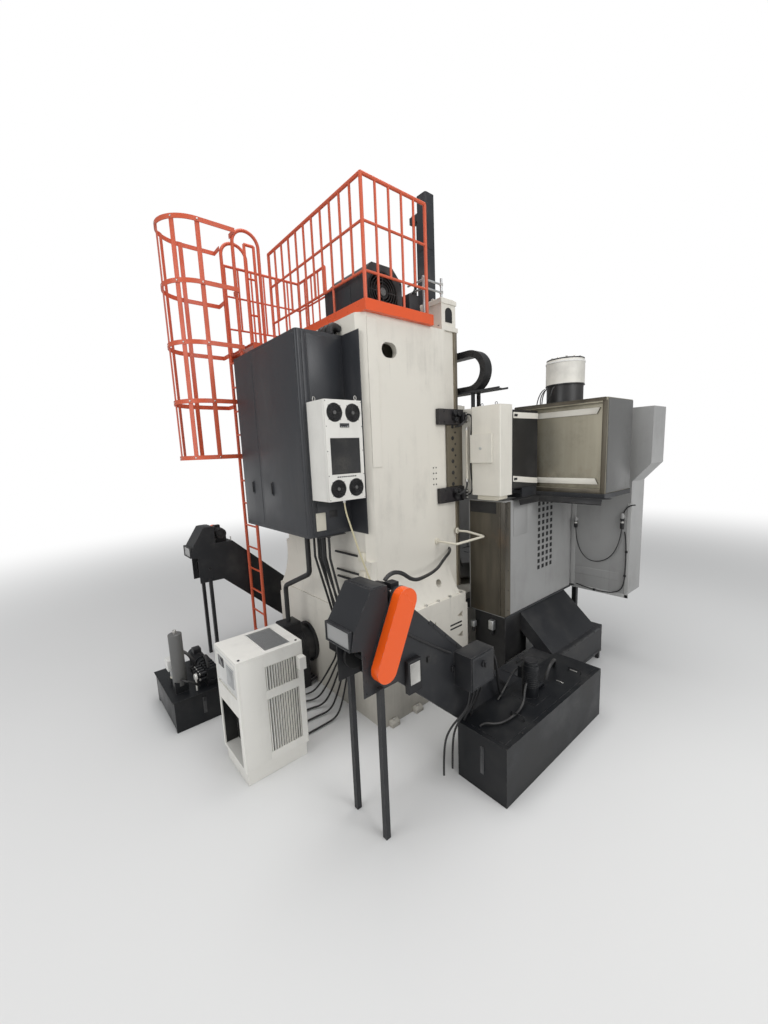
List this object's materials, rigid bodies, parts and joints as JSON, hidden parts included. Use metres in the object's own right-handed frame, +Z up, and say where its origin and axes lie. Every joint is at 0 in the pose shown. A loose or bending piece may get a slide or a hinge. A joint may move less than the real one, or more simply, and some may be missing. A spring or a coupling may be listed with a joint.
{
  "type": "vertical turret lathe",
  "caption": "Single-column vertical turning machine with lifting crossrail, square ram, rotary table, tool magazine, chip conveyors, guards, ladder and service platform.",
  "frame": {"origin": "on the floor under the table's axis, on the bed's underside", "axes": "X across the machine, +Y to the machine's rear, +Z up along the table's axis"},
  "size_m": [4.678, 5.299, 5.95],
  "materials": {
    "casting_white": "casting white",
    "way_steel": "way steel",
    "cast_grey": "cast grey",
    "screw_steel": "screw steel",
    "dark_paint": "dark paint",
    "cabinet_charcoal": "cabinet charcoal",
    "cover_white": "cover white",
    "rail_orange": "rail orange",
    "skirt_orange": "skirt orange",
    "guard_orange": "guard orange",
    "guard_grey": "guard grey",
    "panel_steel": "panel steel",
    "chain_black": "chain black",
    "motor_black": "motor black",
    "drum_white": "drum white",
    "tool_steel": "tool steel",
    "cooler_white": "cooler white",
    "pan_grey": "pan grey",
    "tank_black": "tank black",
    "pendant_grey": "pendant grey",
    "stop_red": "stop red",
    "cable_black": "cable black"
  },
  "bodies": {
    "machine_frame": {"bed_casting": "casting_white", "column": "casting_white", "column_ways": "way_steel", "lift_gearboxes": "casting_white", "lift_motor_cowl": "dark_paint", "work_platform": "skirt_orange", "platform_railing": "rail_orange", "walkway": "rail_orange", "ladder": "rail_orange", "ladder_cage": "rail_orange", "table_bearing": "way_steel", "main_motor": "motor_black", "electrical_cabinet": "cabinet_charcoal", "cooling_unit": "cooler_white", "chip_pan": "pan_grey", "splash_guard_left": "guard_grey", "splash_guard_right": "guard_grey", "front_guard": "guard_grey", "coolant_tank": "tank_black", "left_conveyor": "pan_grey", "right_conveyor": "pan_grey", "belt_guards": "guard_orange", "conveyor_motors": "motor_black", "chiller": "cooler_white", "hydraulic_unit": "tank_black", "cabinet_conduits": "cable_black", "wing_cable": "cable_black"},
    "crossrail_unit": {"crossrail": "cover_white", "crossrail_clamps": "cast_grey", "crossrail_end_cover": "cover_white", "x_servo_motor": "motor_black", "chain_tray": "guard_grey", "cable_chain": "chain_black", "magazine_bracket": "dark_paint", "magazine_housing": "panel_steel", "magazine_panel": "panel_steel", "magazine_drum": "drum_white"},
    "saddle_unit": {"saddle": "casting_white", "ram_tower": "dark_paint"},
    "ram_unit": {"ram": "way_steel", "tool_holder": "tool_steel"},
    "lift_screw_left": {"lift_screw_left": "screw_steel"},
    "lift_screw_right": {"lift_screw_right": "screw_steel"},
    "lift_cross_shaft": {"lift_cross_shaft": "screw_steel"},
    "x_ball_screw": {"x_ball_screw": "screw_steel"},
    "tool_magazine": {"tool_magazine": "tool_steel"},
    "magazine_shutter": {"magazine_shutter": "panel_steel"},
    "table": {"table": "cast_grey"},
    "jaw_1": {"jaw_1": "tool_steel"},
    "jaw_2": {"jaw_2": "tool_steel"},
    "jaw_3": {"jaw_3": "tool_steel"},
    "jaw_4": {"jaw_4": "tool_steel"},
    "front_door_left": {"front_door_left": "guard_grey"},
    "front_door_right": {"front_door_right": "guard_grey"},
    "cabinet_door_left": {"cabinet_door_left": "cabinet_charcoal"},
    "cabinet_door_right": {"cabinet_door_right": "cabinet_charcoal"},
    "left_head_shaft": {"left_head_shaft": "screw_steel"},
    "right_head_shaft": {"right_head_shaft": "screw_steel"},
    "operator_pendant": {"operator_pendant": "pendant_grey"},
    "emergency_stop": {"emergency_stop": "stop_red"}
  },
  "joints": [
    {"name": "crossrail_lift", "type": "slide", "parent": "machine_frame", "child": "crossrail_unit", "axis": [0, 0, 1], "range_m": [0, 0.7]},
    {"name": "lift_screw_left_turn", "type": "hinge", "parent": "machine_frame", "child": "lift_screw_left", "pos_m": [-0.49, 1.08, 2.5], "axis": [0, 0, 1], "continuous": true},
    {"name": "lift_screw_right_turn", "type": "hinge", "parent": "machine_frame", "child": "lift_screw_right", "pos_m": [0.49, 1.08, 2.5], "axis": [0, 0, 1], "continuous": true},
    {"name": "lift_cross_shaft_turn", "type": "hinge", "parent": "machine_frame", "child": "lift_cross_shaft", "pos_m": [0, 1.08, 4.1653], "axis": [1, 0, 0], "continuous": true},
    {"name": "saddle_traverse", "type": "slide", "parent": "crossrail_unit", "child": "saddle_unit", "axis": [1, 0, 0], "range_m": [-0.95, 0.55]},
    {"name": "x_ball_screw_turn", "type": "hinge", "parent": "crossrail_unit", "child": "x_ball_screw", "pos_m": [0, 0.53, 2.665], "axis": [1, 0, 0], "continuous": true},
    {"name": "ram_feed", "type": "slide", "parent": "saddle_unit", "child": "ram_unit", "axis": [0, 0, 1], "range_m": [-0.42, 0.3]},
    {"name": "tool_magazine_turn", "type": "hinge", "parent": "crossrail_unit", "child": "tool_magazine", "pos_m": [-1.56, -0.11, 2.8], "axis": [0, 0, 1], "continuous": true},
    {"name": "shutter_lift", "type": "slide", "parent": "crossrail_unit", "child": "magazine_shutter", "axis": [0, 0, 1], "range_m": [0, 0.65]},
    {"name": "table_turn", "type": "hinge", "parent": "machine_frame", "child": "table", "pos_m": [0, 0, 1], "axis": [0, 0, 1], "continuous": true},
    {"name": "jaw_1_slide", "type": "slide", "parent": "table", "child": "jaw_1", "axis": [1, 0, 0], "range_m": [-0.15, 0.05]},
    {"name": "jaw_2_slide", "type": "slide", "parent": "table", "child": "jaw_2", "axis": [0, 1, 0], "range_m": [-0.15, 0.05]},
    {"name": "jaw_3_slide", "type": "slide", "parent": "table", "child": "jaw_3", "axis": [-1, 0, 0], "range_m": [-0.15, 0.05]},
    {"name": "jaw_4_slide", "type": "slide", "parent": "table", "child": "jaw_4", "axis": [0, -1, 0], "range_m": [-0.15, 0.05]},
    {"name": "front_door_left_slide", "type": "slide", "parent": "machine_frame", "child": "front_door_left", "axis": [-1, 0, 0], "range_m": [0, 0.84]},
    {"name": "front_door_right_slide", "type": "slide", "parent": "machine_frame", "child": "front_door_right", "axis": [1, 0, 0], "range_m": [0, 0.84]},
    {"name": "cabinet_door_left_swing", "type": "hinge", "parent": "machine_frame", "child": "cabinet_door_left", "pos_m": [-0.594, 2.7443, 2.865], "axis": [0, 0, 1], "range_deg": [0, 100]},
    {"name": "cabinet_door_right_swing", "type": "hinge", "parent": "machine_frame", "child": "cabinet_door_right", "pos_m": [0.855, 2.7443, 2.865], "axis": [0, 0, -1], "range_deg": [0, 100]},
    {"name": "left_head_shaft_turn", "type": "hinge", "parent": "machine_frame", "child": "left_head_shaft", "pos_m": [-1.74, 3.06, 1.28], "axis": [1, 0, 0], "continuous": true},
    {"name": "right_head_shaft_turn", "type": "hinge", "parent": "machine_frame", "child": "right_head_shaft", "pos_m": [1.74, 3.06, 1.28], "axis": [1, 0, 0], "continuous": true},
    {"name": "pendant_swivel", "type": "hinge", "parent": "machine_frame", "child": "operator_pendant", "pos_m": [1.5, -1.3, 2], "axis": [0, 0, 1], "range_deg": [-90, 90]},
    {"name": "emergency_stop_press", "type": "slide", "parent": "operator_pendant", "child": "emergency_stop", "axis": [0, 1, 0], "range_m": [0, 0.005]}
  ],
  "couplings": [
    {"joint": "lift_screw_left_turn", "follows": "crossrail_lift", "rad_per_m": 314.16},
    {"joint": "lift_screw_right_turn", "follows": "crossrail_lift", "rad_per_m": 314.16},
    {"joint": "lift_cross_shaft_turn", "follows": "crossrail_lift", "rad_per_m": 314.16},
    {"joint": "x_ball_screw_turn", "follows": "saddle_traverse", "rad_per_m": 314.16}
  ]
}
